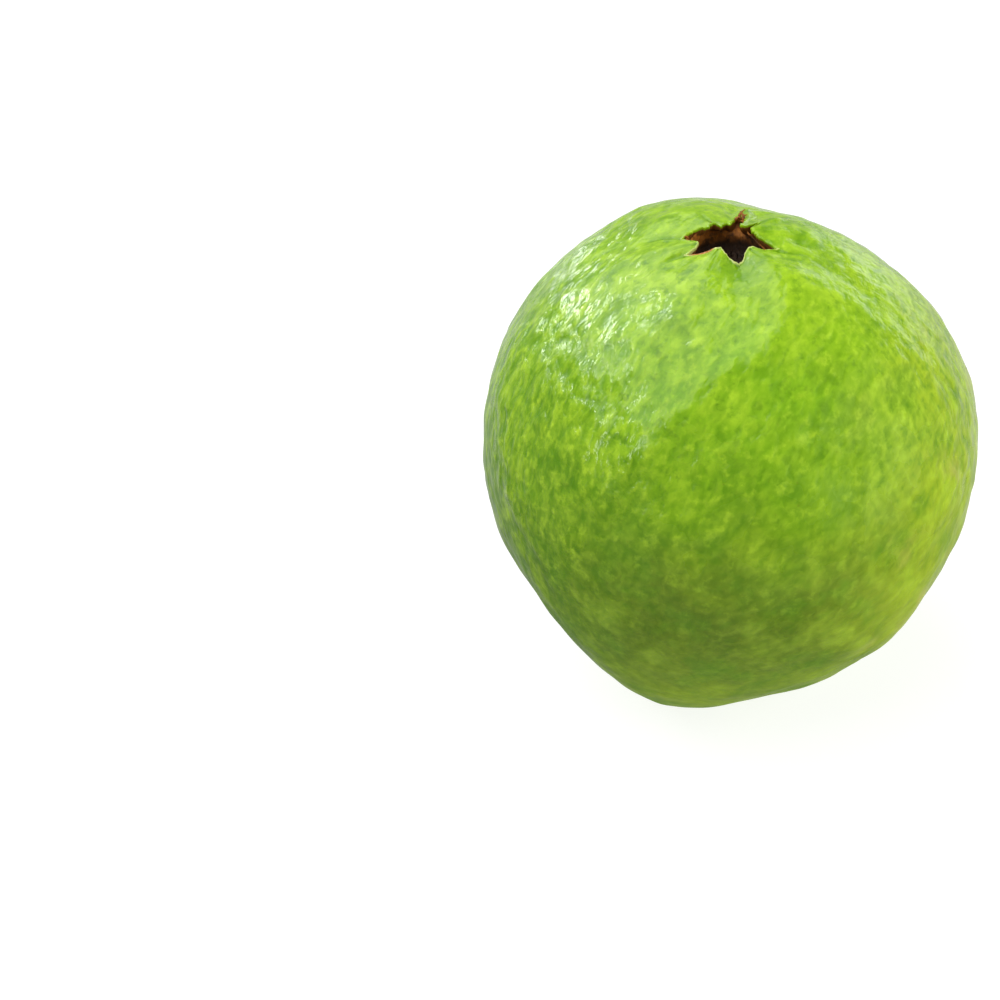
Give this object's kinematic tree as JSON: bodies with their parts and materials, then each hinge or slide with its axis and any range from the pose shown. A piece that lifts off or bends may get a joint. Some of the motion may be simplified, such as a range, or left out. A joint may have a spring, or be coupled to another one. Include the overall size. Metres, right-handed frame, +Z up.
{
  "type": "guava",
  "caption": "Round green guava with faint lobes, standing on its stem end, with a star-shaped calyx mouth on top.",
  "frame": {"origin": "centre of the fruit's own box in plan, at the height of the surface it stands on", "axes": "+Z up along the fruit's own axis from its stem end to its calyx; -Y towards the side that is seen in front"},
  "size_m": [0.086, 0.0862, 0.0853],
  "materials": {
    "waxy_skin": "waxy satin with fine bumps and pale mottling",
    "dry_calyx": "dry, brown and papery",
    "stalk_wood": "dry, dull and fibrous"
  },
  "bodies": {
    "root": {"fruit": "waxy_skin", "dried_calyx": "dry_calyx", "stem_stub": "stalk_wood"}
  },
  "joints": []
}
